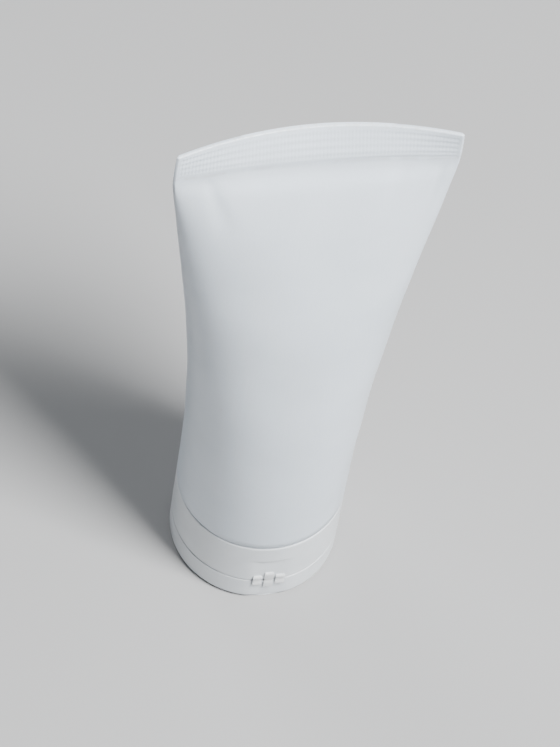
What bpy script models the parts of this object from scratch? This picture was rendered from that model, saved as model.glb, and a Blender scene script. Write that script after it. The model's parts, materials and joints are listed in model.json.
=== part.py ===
"""A squeeze tube of shaving cream that stands on its flip-top cap.

Run it with: blender --background --python part.py

The frame is +Z up, in metres. The origin is the centre of the lid's flat outer face, on which the
tube stands, and the tube's axis is +Z. The crimped end seal is at the top and lies along X. The lid's
hinge is at -Y and its thumb scoop at +Y. From the bottom, the pieces are the lid, the cap with its
spout, the gasket, the threaded neck and shoulder, and the sleeve with its cream.
"""

import math

import bmesh
import bpy
from mathutils import Vector

MM = 0.001

# How finely round shapes are cut. Pieces that turn about Z share ROUND_STEPS, so their facets line up.
ROUND_STEPS = 48
SCOOP_STEPS = 32
SLEEVE_STEPS = 64

# Clearances between pieces that touch or nearly touch on the real object.
FIT_GAP = 0.3 * MM
STACK_GAP = 0.15 * MM
PART_GAP = 0.3 * MM
SKIRT_GAP = 0.5 * MM
THREAD_CLEARANCE = 0.3 * MM
PLUG_CLEARANCE = 0.3 * MM
SNAP_CLEARANCE = 0.3 * MM

# Sleeve: an extruded tube, pressed flat and welded at its end.
TUBE_RADIUS = 20.0 * MM
SLEEVE_WALL = 0.5 * MM
SLEEVE_LENGTH = 138.0 * MM
SEAL_HEIGHT = 8.0 * MM
SEAL_BOW = 5.5 * MM
SEAL_FOOT_BOW = 0.8 * MM
BOW_RUN = 22.0 * MM
ROUND_LENGTH = 6.0 * MM
EASE_LENGTH = 80.0 * MM
SEAL_EASE_LENGTH = 8.0 * MM
RING_SPACING = 10.0 * MM
FINE_RING_RUN = 40.0 * MM
FINE_RING_STEPS = 8
RING_GAP = 0.5 * MM
CAVITY_END = 0.2 * MM

# Shoulder and neck, one moulding.
SPIGOT_HEIGHT = 4.0 * MM
SPIGOT_WALL = 1.2 * MM
SHOULDER_RISE = 3.5 * MM
SHOULDER_THICKNESS = 1.5 * MM
NECK_RADIUS = 8.0 * MM
NECK_WALL = 1.8 * MM
NECK_LENGTH = 8.6 * MM
NECK_CHAMFER = 0.4 * MM

# Screw thread between the neck and the cap.
THREAD_PITCH = 3.0 * MM
THREAD_DEPTH = 1.0 * MM
THREAD_ROOT_WIDTH = 1.4 * MM
THREAD_CREST_WIDTH = 0.7 * MM
THREAD_LEAD_IN = 0.8 * MM
THREAD_RUN_OUT = 0.4 * MM
THREAD_SINK = 0.3 * MM

# Cap.
CAP_WALL = 1.4 * MM
DECK_THICKNESS = 1.4 * MM
DECK_RECESS = 0.6 * MM
SNAP_RIM_DEPTH = 1.3 * MM
SNAP_RIM_WALL = 1.1 * MM
INNER_SKIRT_WALL = 1.3 * MM
INNER_SKIRT_GAP = 0.8 * MM
CAP_EDGE = 0.4 * MM
RIB_COUNT = 8
RIB_THICKNESS = 0.9 * MM
RIB_HEIGHT = 4.0 * MM
ORIFICE_RADIUS = 2.5 * MM
SPOUT_WALL = 1.5 * MM
SPOUT_FLARE = 0.7 * MM
SPOUT_CHAMFER = 0.3 * MM
SCOOP_RADIUS = 10.0 * MM
SCOOP_DEPTH = 1.8 * MM
SCOOP_RISE = 2.5 * MM
SCOOP_WALL = 1.2 * MM

# Gasket, between the deck and the end of the neck.
GASKET_THICKNESS = 1.0 * MM
GASKET_HOLE_RADIUS = 4.0 * MM

# Lid.
LID_HEIGHT = 8.0 * MM
LID_WALL = 1.4 * MM
LID_PLATE = 1.4 * MM
LID_EDGE_RADIUS = 1.4 * MM
LID_HEADROOM = 2.0 * MM
LID_RING_GAP = 0.7 * MM
LID_RING_WALL = 0.8 * MM
LID_RING_HEIGHT = 2.6 * MM
PLUG_REACH = 1.6 * MM
PLUG_CHAMFER = 0.5 * MM

# Hinge: a flat on the back of the cap and lid, two thin films and a strap between them.
HINGE_FLAT_DEPTH = 0.5 * MM
HINGE_FLAT_MARGIN = 1.2 * MM
HINGE_OFFSET = 0.25 * MM
FILM_THICKNESS = 0.3 * MM
FILM_WIDTH = 2.2 * MM
FILM_LENGTH = 4.0 * MM
STRAP_WIDTH = 2.2 * MM
STRAP_LENGTH = 6.4 * MM
STRAP_GAP = 0.5 * MM

# Cream: it leaves some air under the end seal.
HEADSPACE = 14.0 * MM
CREAM_GAP = 0.3 * MM
CREAM_EDGE_GAP = 2.0 * MM

# Heights above the standing face, from the bottom up, and radii that follow from the sizes above.
PARTING_Z = LID_HEIGHT + PART_GAP / 2
CAP_Z = LID_HEIGHT + PART_GAP
DECK_Z = CAP_Z + DECK_RECESS
DECK_TOP_Z = DECK_Z + DECK_THICKNESS
SPOUT_TIP_Z = LID_PLATE + LID_HEADROOM
GASKET_Z = DECK_TOP_Z + STACK_GAP
NECK_END_Z = GASKET_Z + GASKET_THICKNESS + STACK_GAP
NECK_ROOT_Z = NECK_END_Z + NECK_LENGTH
SLEEVE_Z = NECK_ROOT_Z + SHOULDER_RISE
CAP_TOP_Z = SLEEVE_Z - SKIRT_GAP
SEAL_FOOT_Z = SLEEVE_Z + SLEEVE_LENGTH - SEAL_HEIGHT
ROUND_END_Z = SLEEVE_Z + ROUND_LENGTH
FLATTENING_RUN = SEAL_FOOT_Z - ROUND_END_Z - (EASE_LENGTH + SEAL_EASE_LENGTH) / 2
NECK_BORE_RADIUS = NECK_RADIUS - NECK_WALL
SLEEVE_BORE_RADIUS = TUBE_RADIUS - SLEEVE_WALL
SPIGOT_RADIUS = SLEEVE_BORE_RADIUS - FIT_GAP
SPIGOT_BORE_RADIUS = SPIGOT_RADIUS - SPIGOT_WALL
CAP_BORE_RADIUS = NECK_RADIUS + THREAD_DEPTH + THREAD_CLEARANCE
INNER_SKIRT_TOP_Z = NECK_ROOT_Z - INNER_SKIRT_GAP
SNAP_RIM_RADIUS = TUBE_RADIUS - LID_WALL - SNAP_CLEARANCE
SPOUT_TIP_RADIUS = ORIFICE_RADIUS + SPOUT_WALL
LID_RING_RADIUS = SPOUT_TIP_RADIUS + SPOUT_FLARE + LID_RING_GAP
HINGE_Y = -(TUBE_RADIUS - HINGE_FLAT_DEPTH + HINGE_OFFSET)

# With this power, the half-axes of an oval that bends and doesn't stretch keep the sum of their powers,
# exactly when it is round or flat and to within a percent between.
GIRTH_POWER = math.log(2) / math.log(math.pi / 2)

WHITE = (0.74, 0.77, 0.78, 1.0)
CAP_WHITE = (0.70, 0.72, 0.73, 1.0)
CREAM_WHITE = (0.86, 0.87, 0.84, 1.0)
FOAM_WHITE = (0.62, 0.63, 0.62, 1.0)


def clear_scene():
    """Removes every object and leaves an empty scene."""
    for obj in list(bpy.data.objects):
        bpy.data.objects.remove(obj, do_unlink=True)


def make_collection(name):
    """A new collection under the scene's own."""
    collection = bpy.data.collections.new(name)
    bpy.context.scene.collection.children.link(collection)
    return collection


def make_material(name, colour, roughness):
    """A Principled material of one colour, not metallic."""
    material = bpy.data.materials.new(name)
    material.use_nodes = True
    shader = material.node_tree.nodes["Principled BSDF"]
    shader.inputs["Base Color"].default_value = colour
    shader.inputs["Roughness"].default_value = roughness
    shader.inputs["Metallic"].default_value = 0.0
    material.diffuse_color = colour
    return material


def add_object(name, mesh, collection, material=None, location=(0, 0, 0)):
    """An object that shows mesh, placed at location."""
    obj = bpy.data.objects.new(name, mesh)
    obj.location = location
    collection.objects.link(obj)
    if material:
        mesh.materials.append(material)
    return obj


def mesh_of(bm, name):
    """The mesh that bm holds, with its faces turned outwards."""
    bmesh.ops.recalc_face_normals(bm, faces=bm.faces)
    mesh = bpy.data.meshes.new(name)
    bm.to_mesh(mesh)
    bm.free()
    return mesh


def shade(obj, angle=math.radians(35)):
    """Smooth shading that keeps edges sharper than angle crisp."""
    obj.data.shade_smooth()
    obj.data.set_sharp_from_angle(angle=angle)


def arc(centre, radius, start, end, count):
    """Points along an arc in the profile plane, from the start to the end angle in degrees."""
    steps = [math.radians(start + (end - start) * i / count) for i in range(count + 1)]
    return [(centre[0] + radius * math.cos(a), centre[1] + radius * math.sin(a)) for a in steps]


def profile_mesh(name, points, closed):
    """A chain of edges in the XZ plane through points (radius, height)."""
    bm = bmesh.new()
    chain = [bm.verts.new((x, 0, z)) for x, z in points]
    for first, second in zip(chain, chain[1:]):
        bm.edges.new((first, second))
    if closed:
        bm.edges.new((chain[-1], chain[0]))
    mesh = bpy.data.meshes.new(name)
    bm.to_mesh(mesh)
    bm.free()
    return mesh


def turned(name, points, collection, material=None, location=(0, 0, 0), closed=True):
    """A solid of revolution about Z. An open profile starts and ends on the axis."""
    obj = add_object(name, profile_mesh(name, points, closed), collection, material, location)
    screw = obj.modifiers.new("turn", "SCREW")
    screw.axis = "Z"
    screw.angle = math.tau
    screw.steps = ROUND_STEPS
    screw.render_steps = ROUND_STEPS
    screw.use_merge_vertices = True
    screw.merge_threshold = 1e-6
    screw.use_smooth_shade = True
    return obj


def as_helper(obj):
    """Marks a cutter or an adder, which is no part of the object by itself."""
    obj.hide_render = True
    obj.display_type = "WIRE"
    return obj


def boolean(obj, operation, other, label):
    """A Boolean modifier with one object or with a whole collection."""
    modifier = obj.modifiers.new(label, "BOOLEAN")
    modifier.operation = operation
    if isinstance(other, bpy.types.Collection):
        modifier.operand_type = "COLLECTION"
        modifier.collection = other
    else:
        modifier.object = other
    return modifier


def box(name, low, high, collection, material=None, origin=(0, 0, 0)):
    """A box between two corners, its object at origin."""
    bm = bmesh.new()
    bmesh.ops.create_cube(bm, size=1.0)
    for vert in bm.verts:
        corner = [low[i] + (high[i] - low[i]) * (vert.co[i] + 0.5) for i in range(3)]
        vert.co = Vector(corner) - Vector(origin)
    return add_object(name, mesh_of(bm, name), collection, material, origin)


def ball(name, centre, radius, collection):
    """A sphere."""
    bm = bmesh.new()
    bmesh.ops.create_uvsphere(bm, u_segments=SCOOP_STEPS, v_segments=SCOOP_STEPS // 2, radius=radius)
    return add_object(name, mesh_of(bm, name), collection, location=centre)


def thread(name, root_radius, crest_radius, start_z, length, collection):
    """A right-handed helical ridge. It rises by length from start_z and is closed at both ends."""
    turns = length / THREAD_PITCH
    sink = math.copysign(THREAD_SINK, root_radius - crest_radius)
    half_root, half_crest = THREAD_ROOT_WIDTH / 2, THREAD_CREST_WIDTH / 2
    section = [
        (root_radius + sink, -half_root),
        (root_radius, -half_root),
        (crest_radius, -half_crest),
        (crest_radius, half_crest),
        (root_radius, half_root),
        (root_radius + sink, half_root),
    ]
    ridge = add_object(name, profile_mesh(name, section, True), collection)
    screw = ridge.modifiers.new("helix", "SCREW")
    screw.axis = "Z"
    screw.angle = math.tau * turns
    screw.screw_offset = length
    screw.steps = max(8, round(ROUND_STEPS * turns))
    screw.render_steps = screw.steps
    screw.use_merge_vertices = False

    # The ridge's two ends are open until its holes are filled.
    evaluated = ridge.evaluated_get(bpy.context.evaluated_depsgraph_get())
    swept = bpy.data.meshes.new_from_object(evaluated)
    bpy.data.objects.remove(ridge, do_unlink=True)
    bm = bmesh.new()
    bm.from_mesh(swept)
    bmesh.ops.holes_fill(bm, edges=[e for e in bm.edges if e.is_boundary], sides=0)
    return as_helper(add_object(name, mesh_of(bm, name), collection, location=(0, 0, start_z)))


def neck_thread_start():
    """The height of the neck thread's middle where it begins."""
    return NECK_END_Z + THREAD_LEAD_IN + THREAD_ROOT_WIDTH / 2


def neck_thread_length():
    """What the neck has room for between its lead-in and the shoulder."""
    return NECK_LENGTH - THREAD_LEAD_IN - THREAD_ROOT_WIDTH - THREAD_RUN_OUT


def cap_thread_start():
    """The cap's ridge runs half a pitch above the neck's, between its turns."""
    return neck_thread_start() + THREAD_PITCH / 2


def cap_thread_length():
    """What the inner skirt has room for above the start of the cap's ridge."""
    return INNER_SKIRT_TOP_Z - THREAD_ROOT_WIDTH / 2 - THREAD_SINK - cap_thread_start()


def flatness(z):
    """How far the width of the section at height z has gone from round, 0, to flat, 1.

    It changes evenly, with an ease at each end.
    """
    up = min(max(z - ROUND_END_Z, 0.0), SEAL_FOOT_Z - ROUND_END_Z)
    down = SEAL_FOOT_Z - ROUND_END_Z - up
    if up < EASE_LENGTH:
        return up * up / (2 * EASE_LENGTH) / FLATTENING_RUN
    if down < SEAL_EASE_LENGTH:
        return 1 - down * down / (2 * SEAL_EASE_LENGTH) / FLATTENING_RUN
    return (up - EASE_LENGTH / 2) / FLATTENING_RUN


def bow(z):
    """How far the middle of the sleeve leans back, towards +Y, at height z."""
    if z > SEAL_FOOT_Z:
        share = (z - SEAL_FOOT_Z) / SEAL_HEIGHT
        return SEAL_FOOT_BOW + (SEAL_BOW - SEAL_FOOT_BOW) * share
    share = max(0.0, 1 - (SEAL_FOOT_Z - z) / BOW_RUN)
    return SEAL_FOOT_BOW * share * share


def other_half_axis(half_axis):
    """The other half-axis, to the middle of the wall, of an oval with the sleeve's girth."""
    round_radius = TUBE_RADIUS - SLEEVE_WALL / 2
    return (2 * round_radius**GIRTH_POWER - half_axis**GIRTH_POWER) ** (1 / GIRTH_POWER)


def oval(z):
    """The half-width and half-depth, to the middle of the wall, of the sleeve's section at height z."""
    round_radius = TUBE_RADIUS - SLEEVE_WALL / 2
    width = round_radius + (other_half_axis(SLEEVE_WALL / 2) - round_radius) * flatness(z)
    return width, other_half_axis(width)


def cavity_end():
    """The height where each side of the cavity comes within CAVITY_END of its middle."""
    flat_width = other_half_axis(SLEEVE_WALL / 2)
    narrowing = flat_width - other_half_axis(SLEEVE_WALL / 2 + CAVITY_END)
    share = narrowing / (flat_width - (TUBE_RADIUS - SLEEVE_WALL / 2))
    return SEAL_FOOT_Z - math.sqrt(2 * SEAL_EASE_LENGTH * FLATTENING_RUN * share)


def bent(points, z):
    """Points (x, y) of a section at height z, leaning back most in the middle, as the end seal does."""
    lean = bow(z)
    reach = math.pi / 2 * TUBE_RADIUS
    pull_in = 1 - 8 / 3 * (lean / (2 * reach)) ** 2
    return [(x * pull_in, y + lean * (1 - (x / reach) ** 2), z) for x, y in points]


def directions():
    """The cosine and sine of each of the sleeve's lengthwise lines, from +X round to +Y."""
    angles = [math.tau * k / SLEEVE_STEPS for k in range(SLEEVE_STEPS)]
    return [(math.cos(angle), math.sin(angle)) for angle in angles]


def sleeve_ring(z, offset):
    """Points round the sleeve at height z, moved out by offset from the middle of its wall.

    The section goes from a circle to two flat layers that lie against each other.
    """
    width, depth = oval(z)
    layer = flatness(z) * SLEEVE_WALL / 2
    bulge = max(depth - layer, 0.0)
    points = []
    for cosine, sine in directions():
        across, along = bulge * cosine, width * sine
        slope = math.hypot(across, along)
        # An inner point moves no further in than the fold at the section's edge is round.
        fold_radius = slope**3 / (width * bulge) if bulge > 0 else 0.0
        step = max(offset, -fold_radius)
        normal = (across / slope, along / slope) if slope > 0 else (cosine, 0.0)
        side = 0.0 if abs(sine) < 1e-9 else math.copysign(layer, sine)
        points.append((width * cosine + step * normal[0], bulge * sine + side + step * normal[1]))
    return bent(points, z)


def cream_ring(z):
    """Points round the cream at height z, inside the sleeve."""
    width, depth = oval(z)
    wall = SLEEVE_WALL / 2 + CREAM_GAP
    edge = wall + (CREAM_EDGE_GAP - CREAM_GAP) * flatness(z)
    points = [((width - edge) * cosine, (depth - wall) * sine) for cosine, sine in directions()]
    return bent(points, z)


def circle(radius, z):
    """Points round a circle, one for each of the sleeve's lengthwise lines."""
    return [(radius * cosine, radius * sine, z) for cosine, sine in directions()]


def ring_heights():
    """The heights of the sleeve's rings: evenly up its body, and closer and closer under the seal."""
    fine_start = SEAL_FOOT_Z - FINE_RING_RUN
    count = max(1, round((fine_start - ROUND_END_Z) / RING_SPACING))
    body = [ROUND_END_Z + (fine_start - ROUND_END_Z) * i / count for i in range(count)]
    shares = [(i / FINE_RING_STEPS) ** 2 for i in range(FINE_RING_STEPS, -1, -1)]
    return body + [SEAL_FOOT_Z - FINE_RING_RUN * share for share in shares]


def heights(low, high):
    """low, high, and the heights of the sleeve's rings that are clearly between them."""
    return [low, *[z for z in ring_heights() if low + RING_GAP < z < high - RING_GAP], high]


def add_wall(bm, rings):
    """Skins neighbouring rings and returns the first and last ring's vertices."""
    rows = [[bm.verts.new(p) for p in points] for points in rings]
    for lower, upper in zip(rows, rows[1:]):
        for k in range(SLEEVE_STEPS):
            n = (k + 1) % SLEEVE_STEPS
            bm.faces.new((lower[k], lower[n], upper[n], upper[k]))
    return rows[0], rows[-1]


def add_end(bm, row):
    """Closes a ring with a strip of faces across it, from its front to its back."""
    half = SLEEVE_STEPS // 2
    bm.faces.new((row[0], row[1], row[-1]))
    for k in range(1, half - 1):
        bm.faces.new((row[k], row[k + 1], row[SLEEVE_STEPS - k - 1], row[SLEEVE_STEPS - k]))
    bm.faces.new((row[half - 1], row[half], row[half + 1]))


def make_sleeve(collection, material):
    """The sleeve: round at the shoulder, pressed flat and welded at the end seal."""
    seal_top = SEAL_FOOT_Z + SEAL_HEIGHT
    wall = SLEEVE_WALL / 2
    outer_heights = [SLEEVE_Z, *heights(ROUND_END_Z, SEAL_FOOT_Z)]
    outer_heights += [SEAL_FOOT_Z + SEAL_HEIGHT / 2, seal_top]
    inner_heights = [SLEEVE_Z, *heights(ROUND_END_Z, cavity_end())]
    bm = bmesh.new()
    outer_foot, outer_top = add_wall(bm, [sleeve_ring(z, wall) for z in outer_heights])
    inner_foot, inner_top = add_wall(bm, [sleeve_ring(z, -wall) for z in inner_heights])
    for k in range(SLEEVE_STEPS):
        n = (k + 1) % SLEEVE_STEPS
        bm.faces.new((outer_foot[n], outer_foot[k], inner_foot[k], inner_foot[n]))
    add_end(bm, outer_top)
    add_end(bm, inner_top)
    sleeve = add_object("tube_sleeve", mesh_of(bm, "tube_sleeve"), collection, material)
    shade(sleeve)
    return sleeve


def shoulder_underside(radius):
    """The height of the shoulder's outer face at a radius."""
    return NECK_ROOT_Z + SHOULDER_RISE * (radius - NECK_RADIUS) / (SPIGOT_RADIUS - NECK_RADIUS)


def make_shoulder(collection, helpers, material):
    """The moulding that closes the sleeve's round end: spigot, shoulder and threaded neck."""
    spigot_top = SLEEVE_Z + SPIGOT_HEIGHT
    bore_foot = shoulder_underside(NECK_BORE_RADIUS) + SHOULDER_THICKNESS
    bore_top = shoulder_underside(SPIGOT_BORE_RADIUS) + SHOULDER_THICKNESS
    profile = [
        (SPIGOT_RADIUS, spigot_top),
        (SPIGOT_RADIUS, SLEEVE_Z),
        (NECK_RADIUS, NECK_ROOT_Z),
        (NECK_RADIUS, NECK_END_Z + NECK_CHAMFER),
        (NECK_RADIUS - NECK_CHAMFER, NECK_END_Z),
        (NECK_BORE_RADIUS, NECK_END_Z),
        (NECK_BORE_RADIUS, bore_foot),
        (SPIGOT_BORE_RADIUS, bore_top),
        (SPIGOT_BORE_RADIUS, spigot_top),
    ]
    shoulder = turned("tube_shoulder", profile, collection, material)
    ridge = thread(
        "neck_thread",
        NECK_RADIUS,
        NECK_RADIUS + THREAD_DEPTH,
        neck_thread_start(),
        neck_thread_length(),
        helpers,
    )
    boolean(shoulder, "UNION", ridge, "thread")
    return shoulder


def make_cream(collection, material):
    """The cream: it fills the neck, the shoulder and the sleeve up to its headspace."""
    spigot_top = SLEEVE_Z + SPIGOT_HEIGHT
    neck_radius = NECK_BORE_RADIUS - CREAM_GAP
    low_radius = SPIGOT_BORE_RADIUS - CREAM_GAP
    cone = SHOULDER_THICKNESS + CREAM_GAP
    rings = [
        circle(neck_radius, NECK_END_Z + CREAM_GAP),
        circle(neck_radius, shoulder_underside(neck_radius) + cone),
        circle(low_radius, shoulder_underside(low_radius) + cone),
        circle(low_radius, spigot_top),
    ]
    top = SEAL_FOOT_Z - HEADSPACE
    rings += [cream_ring(z) for z in heights(spigot_top + SPIGOT_WALL + FIT_GAP, top)]
    bm = bmesh.new()
    foot, end = add_wall(bm, rings)
    add_end(bm, foot)
    add_end(bm, end)
    cream = add_object("shaving_cream", mesh_of(bm, "shaving_cream"), collection, material)
    shade(cream)
    return cream


def make_gasket(collection, material):
    """The foam ring under the end of the neck, narrow enough to pass the cap's thread."""
    outer = CAP_BORE_RADIUS - THREAD_DEPTH - FIT_GAP
    top = GASKET_Z + GASKET_THICKNESS
    profile = [(outer, top), (outer, GASKET_Z), (GASKET_HOLE_RADIUS, GASKET_Z), (GASKET_HOLE_RADIUS, top)]
    return turned("neck_gasket", profile, collection, material)


def cap_profile():
    """The cap's section: outer skirt, snap rim, deck, spout, orifice and inner skirt, in one loop."""
    inner_edge = SNAP_RIM_RADIUS - SNAP_RIM_WALL
    return [
        (TUBE_RADIUS - CAP_EDGE, CAP_TOP_Z),
        (TUBE_RADIUS, CAP_TOP_Z - CAP_EDGE),
        (TUBE_RADIUS, CAP_Z),
        (SNAP_RIM_RADIUS, CAP_Z),
        (SNAP_RIM_RADIUS, CAP_Z - SNAP_RIM_DEPTH),
        (inner_edge, CAP_Z - SNAP_RIM_DEPTH),
        (inner_edge, DECK_Z),
        (SPOUT_TIP_RADIUS + SPOUT_FLARE, DECK_Z),
        (SPOUT_TIP_RADIUS, SPOUT_TIP_Z + SPOUT_CHAMFER),
        (SPOUT_TIP_RADIUS - SPOUT_CHAMFER, SPOUT_TIP_Z),
        (ORIFICE_RADIUS, SPOUT_TIP_Z),
        (ORIFICE_RADIUS, DECK_TOP_Z),
        (CAP_BORE_RADIUS, DECK_TOP_Z),
        (CAP_BORE_RADIUS, INNER_SKIRT_TOP_Z),
        (CAP_BORE_RADIUS + INNER_SKIRT_WALL, INNER_SKIRT_TOP_Z),
        (CAP_BORE_RADIUS + INNER_SKIRT_WALL, DECK_TOP_Z),
        (TUBE_RADIUS - CAP_WALL, DECK_TOP_Z),
        (TUBE_RADIUS - CAP_WALL, CAP_TOP_Z),
    ]


def make_ribs(helpers):
    """Radial webs between the cap's inner and outer skirts."""
    ribs = bpy.data.collections.new("cap_ribs")
    helpers.children.link(ribs)
    inner = CAP_BORE_RADIUS + INNER_SKIRT_WALL / 2
    outer = TUBE_RADIUS - CAP_WALL / 2
    # The first rib stands half a step from the hinge and the scoop, so that neither meets one.
    for k in range(RIB_COUNT):
        rib = box(
            f"rib_{k + 1}",
            (inner, -RIB_THICKNESS / 2, DECK_TOP_Z - DECK_THICKNESS / 2),
            (outer, RIB_THICKNESS / 2, DECK_TOP_Z + RIB_HEIGHT),
            ribs,
        )
        rib.rotation_euler.z = math.tau * (k + 0.5) / RIB_COUNT
        as_helper(rib)
    return ribs


def hinge_flat(helpers):
    """The cutter for the flat on the hinge side, tall enough for the lid to fold back beside it."""
    face = -(TUBE_RADIUS - HINGE_FLAT_DEPTH)
    cutter = box(
        "hinge_flat",
        (-TUBE_RADIUS, -2 * TUBE_RADIUS, -LID_HEIGHT),
        (TUBE_RADIUS, face, CAP_Z + LID_HEIGHT + HINGE_FLAT_MARGIN),
        helpers,
    )
    return as_helper(cutter)


def make_cap(collection, helpers, flat, material):
    """The cap: everything between the lid and the tube, with its thread, ribs and thumb scoop."""
    cap = turned("cap_base", cap_profile(), collection, material)
    ridge = thread(
        "cap_thread",
        CAP_BORE_RADIUS,
        CAP_BORE_RADIUS - THREAD_DEPTH,
        cap_thread_start(),
        cap_thread_length(),
        helpers,
    )
    boolean(cap, "UNION", ridge, "thread")
    boolean(cap, "UNION", make_ribs(helpers), "ribs")

    # The scoop is a bite out of the skirt, with a wall of its own behind it.
    centre = (0, TUBE_RADIUS + SCOOP_RADIUS - SCOOP_DEPTH, CAP_Z + SCOOP_RISE)
    backing = ball("scoop_backing", centre, SCOOP_RADIUS + SCOOP_WALL, helpers)
    reach = CAP_Z + SCOOP_RISE + SCOOP_RADIUS
    inside = turned(
        "scoop_limit",
        [
            (0, reach),
            (TUBE_RADIUS - CAP_WALL / 2, reach),
            (TUBE_RADIUS - CAP_WALL / 2, DECK_Z + DECK_THICKNESS / 2),
            (0, DECK_Z + DECK_THICKNESS / 2),
        ],
        helpers,
        closed=False,
    )
    boolean(backing, "INTERSECT", as_helper(inside), "inside the skirt")
    boolean(cap, "UNION", as_helper(backing), "scoop wall")
    bite = as_helper(ball("scoop_bite", centre, SCOOP_RADIUS, helpers))
    boolean(cap, "DIFFERENCE", bite, "scoop")
    boolean(cap, "DIFFERENCE", flat, "hinge flat")
    return cap


def lid_profile():
    """The lid's section, from the tip of its plug to the middle of its outer face."""
    plug = ORIFICE_RADIUS - PLUG_CLEARANCE
    plug_tip = SPOUT_TIP_Z + PLUG_REACH
    ring_top = LID_PLATE + LID_RING_HEIGHT
    ring_outer = LID_RING_RADIUS + LID_RING_WALL
    corner = (TUBE_RADIUS - LID_EDGE_RADIUS, LID_EDGE_RADIUS)
    return [
        (0, plug_tip),
        (plug - PLUG_CHAMFER, plug_tip),
        (plug, plug_tip - PLUG_CHAMFER),
        (plug, LID_PLATE),
        (LID_RING_RADIUS, LID_PLATE),
        (LID_RING_RADIUS, ring_top),
        (ring_outer, ring_top),
        (ring_outer, LID_PLATE),
        (TUBE_RADIUS - LID_WALL, LID_PLATE),
        (TUBE_RADIUS - LID_WALL, LID_HEIGHT),
        (TUBE_RADIUS, LID_HEIGHT),
        *arc(corner, LID_EDGE_RADIUS, 0, -90, 4),
        (0, 0),
    ]


def make_lid(collection, flat, material):
    """The lid, hung on an empty that lies on the hinge's axis."""
    axis = bpy.data.objects.new("lid_hinge_axis", None)
    axis.location = (0, HINGE_Y, PARTING_Z)
    collection.objects.link(axis)
    lid = turned("cap_lid", lid_profile(), collection, material, closed=False)
    lid.parent = axis
    lid.location = -axis.location
    boolean(lid, "DIFFERENCE", flat, "hinge flat")
    return lid


def make_hinge(collection, material):
    """Two films and a strap across the parting line. Each bends as the lid opens."""
    front, back = HINGE_Y - FILM_THICKNESS / 2, HINGE_Y + FILM_THICKNESS / 2
    film_start = STRAP_WIDTH / 2 + STRAP_GAP
    strips = {
        "hinge_film_left": (-film_start - FILM_WIDTH, -film_start, FILM_LENGTH),
        "hinge_strap": (-STRAP_WIDTH / 2, STRAP_WIDTH / 2, STRAP_LENGTH),
        "hinge_film_right": (film_start, film_start + FILM_WIDTH, FILM_LENGTH),
    }
    for name, (left, right, length) in strips.items():
        low = (left, front, PARTING_Z - length / 2)
        high = (right, back, PARTING_Z + length / 2)
        box(name, low, high, collection, material, origin=(0, HINGE_Y, PARTING_Z))


def main():
    """Builds the tube."""
    clear_scene()
    tube = make_collection("shaving_cream_tube")
    helpers = make_collection("cutters")
    sleeve_white = make_material("sleeve_white", WHITE, 0.38)
    moulded_white = make_material("moulded_white", CAP_WHITE, 0.42)
    cream_white = make_material("cream_white", CREAM_WHITE, 0.55)
    foam = make_material("foam_white", FOAM_WHITE, 0.9)

    make_sleeve(tube, sleeve_white)
    make_shoulder(tube, helpers, moulded_white)
    make_cream(tube, cream_white)
    make_gasket(tube, foam)
    flat = hinge_flat(helpers)
    make_cap(tube, helpers, flat, moulded_white)
    make_lid(tube, flat, moulded_white)
    make_hinge(tube, moulded_white)


main()
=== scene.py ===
"""The looks of a squeeze tube of shaving cream that stands on its flip-top cap.

The tube's sleeve, its moulded head, the gasket, the cap, the lid, the living hinge and the cream are
built finely here, each round the solid that it stands for. Sizes of pieces and finishes are in
millimetres, and the studio's are in metres. +Z is up and the end seal lies along X. The hinge is at
-Y, and the thumb scoop at +Y.
"""

import json
import logging
import math
from collections.abc import Callable, Sequence
from dataclasses import dataclass
from enum import Enum

import bmesh
import bpy
import numpy as np
from mathutils import Matrix, Quaternion, Vector


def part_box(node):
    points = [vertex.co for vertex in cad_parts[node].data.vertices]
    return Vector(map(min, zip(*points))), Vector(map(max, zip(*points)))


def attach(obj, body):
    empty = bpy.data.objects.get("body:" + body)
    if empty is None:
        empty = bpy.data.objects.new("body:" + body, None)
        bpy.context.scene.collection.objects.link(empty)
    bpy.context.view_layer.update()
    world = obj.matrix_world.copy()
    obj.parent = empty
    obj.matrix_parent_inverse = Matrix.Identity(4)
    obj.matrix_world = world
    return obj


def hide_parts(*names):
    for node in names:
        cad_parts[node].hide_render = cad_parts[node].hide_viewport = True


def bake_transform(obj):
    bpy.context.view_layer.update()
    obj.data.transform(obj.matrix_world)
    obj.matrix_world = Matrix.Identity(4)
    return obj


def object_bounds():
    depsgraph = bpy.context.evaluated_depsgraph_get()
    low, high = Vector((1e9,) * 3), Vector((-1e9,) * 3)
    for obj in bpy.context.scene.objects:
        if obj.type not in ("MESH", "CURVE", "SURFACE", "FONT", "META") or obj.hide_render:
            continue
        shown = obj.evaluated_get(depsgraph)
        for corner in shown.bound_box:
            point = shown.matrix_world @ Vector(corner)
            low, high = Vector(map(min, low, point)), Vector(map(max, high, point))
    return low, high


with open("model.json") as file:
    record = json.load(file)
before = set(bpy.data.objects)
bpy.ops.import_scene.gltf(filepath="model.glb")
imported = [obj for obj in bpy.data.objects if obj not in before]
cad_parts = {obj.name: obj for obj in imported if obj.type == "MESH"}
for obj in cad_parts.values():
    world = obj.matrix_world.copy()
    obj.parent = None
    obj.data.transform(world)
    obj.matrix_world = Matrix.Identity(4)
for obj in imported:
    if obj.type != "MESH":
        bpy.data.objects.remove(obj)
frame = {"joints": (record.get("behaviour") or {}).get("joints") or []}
CAD_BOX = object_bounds()

MM = 0.001
LOG = logging.getLogger("shaving_cream_tube")

Colour = tuple[float, float, float]
Point2 = tuple[float, float]
Corner = tuple[float, float, float]
Faces = list[tuple[int, ...]]
Sockets = dict[str | int, object]
Warp = Callable[[np.ndarray, np.ndarray], np.ndarray]

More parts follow.
